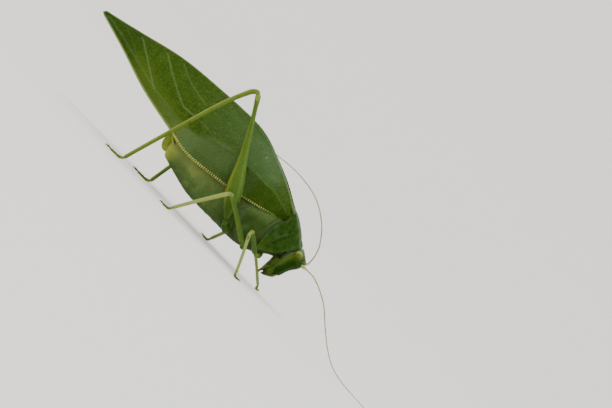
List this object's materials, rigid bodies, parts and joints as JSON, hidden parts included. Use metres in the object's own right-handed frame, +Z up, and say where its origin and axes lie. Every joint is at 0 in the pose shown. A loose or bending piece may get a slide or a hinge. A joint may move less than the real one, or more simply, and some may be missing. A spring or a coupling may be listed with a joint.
{
  "type": "leaf katydid (long-horned grasshopper, family Tettigoniidae, subfamily Phaneropterinae)",
  "caption": "Still life-size leaf katydid standing with folded leaf-shaped wings, raised hind knees and long thread-like feelers.",
  "frame": {"origin": "on the ground, under the centre of the whole insect's box, feelers included", "axes": "+X towards the head, +Y towards the insect's left side, +Z up"},
  "size_m": [0.0778, 0.0332, 0.024],
  "materials": {
    "shell": "satin green cuticle of head and pronotum",
    "skin": "fine velvety green skin of thorax and abdomen",
    "wing": "satin leathery fore wing with pale veins",
    "hind_wing": "thin folded hind wing, dull",
    "leg": "satin green leg",
    "shin": "satin pale green shin",
    "foot": "satin foot",
    "eye": "glossy compound eye",
    "feeler": "satin thread-like feeler",
    "mouth": "satin mouthparts",
    "blade": "satin egg-laying blade"
  },
  "bodies": {
    "root": {"head": "shell", "eye_right": "eye", "eye_left": "eye", "labrum": "mouth", "mandible_right": "mouth", "mandible_left": "mouth", "labium": "mouth", "palp_right": "mouth", "palp_left": "mouth", "antenna_right_1": "feeler", "antenna_right_2": "feeler", "antenna_right_3": "feeler", "antenna_left_1": "feeler", "antenna_left_2": "feeler", "antenna_left_3": "feeler", "pronotum": "shell", "thorax": "skin", "abdomen_front": "skin", "abdomen_rear": "skin", "cercus_right": "skin", "cercus_left": "skin", "ovipositor": "blade", "tegmen_right": "wing", "tegmen_left": "wing", "hindwings_folded": "hind_wing", "coxa_hind_right": "skin", "femur_hind_right": "leg", "tibia_hind_right": "shin", "tarsus_hind_right": "foot", "coxa_hind_left": "skin", "femur_hind_left": "leg", "tibia_hind_left": "shin", "tarsus_hind_left": "foot", "coxa_middle_right": "skin", "femur_middle_right": "leg", "tibia_middle_right": "shin", "tarsus_middle_right": "foot", "coxa_middle_left": "skin", "femur_middle_left": "leg", "tibia_middle_left": "shin", "tarsus_middle_left": "foot", "coxa_front_right": "skin", "femur_front_right": "leg", "tibia_front_right": "shin", "tarsus_front_right": "foot", "coxa_front_left": "skin", "femur_front_left": "leg", "tibia_front_left": "shin", "tarsus_front_left": "foot"}
  },
  "joints": []
}
